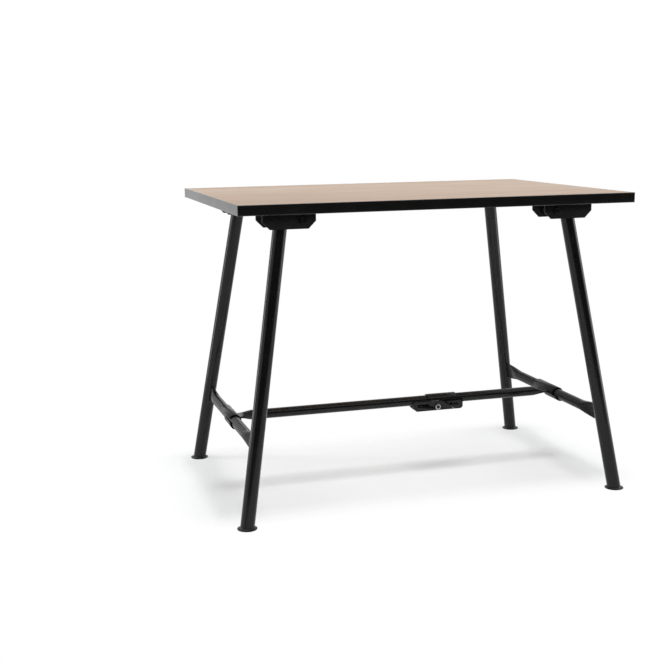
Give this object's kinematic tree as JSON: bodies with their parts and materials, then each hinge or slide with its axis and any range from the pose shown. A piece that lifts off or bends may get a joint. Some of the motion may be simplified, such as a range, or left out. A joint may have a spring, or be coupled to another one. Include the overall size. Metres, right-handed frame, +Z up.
{
  "type": "folding workbench",
  "caption": "Standing workbench with an edged plywood top, splayed tubular legs that fold flat under it in pairs, and a two-part brace that latches between them.",
  "frame": {"origin": "on the floor, under the middle of the top", "axes": "+X along the top's length, -Y the front, +Z up"},
  "size_m": [1.1294, 0.77, 0.845],
  "materials": {
    "plywood": "clear sealed birch-like ply",
    "edging": "black edge strip",
    "black_steel": "satin black powder coat",
    "rubber": "matt black moulded cap",
    "zinc": "bright zinc plate"
  },
  "bodies": {
    "bench_top": {"worktop": "plywood", "edge_front": "edging", "edge_back": "edging", "edge_left": "edging", "edge_right": "edging", "bracket_front_left": "black_steel", "bracket_screw_front_left_1": "zinc", "bracket_screw_front_left_2": "zinc", "bracket_screw_front_left_3": "zinc", "bracket_screw_front_left_4": "zinc", "pivot_bolt_front_left": "black_steel", "pivot_nut_front_left": "black_steel", "bracket_back_left": "black_steel", "bracket_screw_back_left_1": "zinc", "bracket_screw_back_left_2": "zinc", "bracket_screw_back_left_3": "zinc", "bracket_screw_back_left_4": "zinc", "pivot_bolt_back_left": "black_steel", "pivot_nut_back_left": "black_steel", "bracket_front_right": "black_steel", "bracket_screw_front_right_1": "zinc", "bracket_screw_front_right_2": "zinc", "bracket_screw_front_right_3": "zinc", "bracket_screw_front_right_4": "zinc", "pivot_bolt_front_right": "black_steel", "pivot_nut_front_right": "black_steel", "bracket_back_right": "black_steel", "bracket_screw_back_right_1": "zinc", "bracket_screw_back_right_2": "zinc", "bracket_screw_back_right_3": "zinc", "bracket_screw_back_right_4": "zinc", "pivot_bolt_back_right": "black_steel", "pivot_nut_back_right": "black_steel"},
    "left_leg_frame": {"leg_shoe_front_left": "black_steel", "leg_front_left": "black_steel", "foot_front_left": "rubber", "leg_shoe_back_left": "black_steel", "leg_back_left": "black_steel", "foot_back_left": "rubber", "crossbar_left": "black_steel"},
    "right_leg_frame": {"leg_shoe_front_right": "black_steel", "leg_front_right": "black_steel", "foot_front_right": "rubber", "leg_shoe_back_right": "black_steel", "leg_back_right": "black_steel", "foot_back_right": "rubber", "crossbar_right": "black_steel"},
    "brace_long_half": {"brace_tube_long": "black_steel", "brace_sleeve_left": "black_steel", "latch_channel_long": "black_steel", "latch_bolt": "zinc", "latch_nut": "zinc"},
    "brace_short_half": {"brace_tube_short": "black_steel", "brace_sleeve_right": "black_steel", "latch_channel_short": "black_steel", "latch_cover": "black_steel"}
  },
  "joints": [
    {"name": "left_leg_fold", "type": "hinge", "parent": "bench_top", "child": "left_leg_frame", "pos_m": [-0.36, 0, 0.794], "axis": [0, -1, 0], "range_deg": [0, 102.2]},
    {"name": "right_leg_fold", "type": "hinge", "parent": "bench_top", "child": "right_leg_frame", "pos_m": [0.36, 0, 0.794], "axis": [0, 1, 0], "range_deg": [0, 94.6]},
    {"name": "long_brace_swing", "type": "hinge", "parent": "left_leg_frame", "child": "brace_long_half", "pos_m": [-0.50331, 0, 0.215], "axis": [0, 1, 0], "range_deg": [0, 282.2]},
    {"name": "short_brace_swing", "type": "hinge", "parent": "right_leg_frame", "child": "brace_short_half", "pos_m": [0.50331, 0, 0.215], "axis": [0, 1, 0], "range_deg": [0, 85.4]}
  ],
  "couplings": [
    {"joint": "long_brace_swing", "follows": "left_leg_fold", "ratio": 2.7613},
    {"joint": "short_brace_swing", "follows": "right_leg_fold", "ratio": 0.90275}
  ]
}
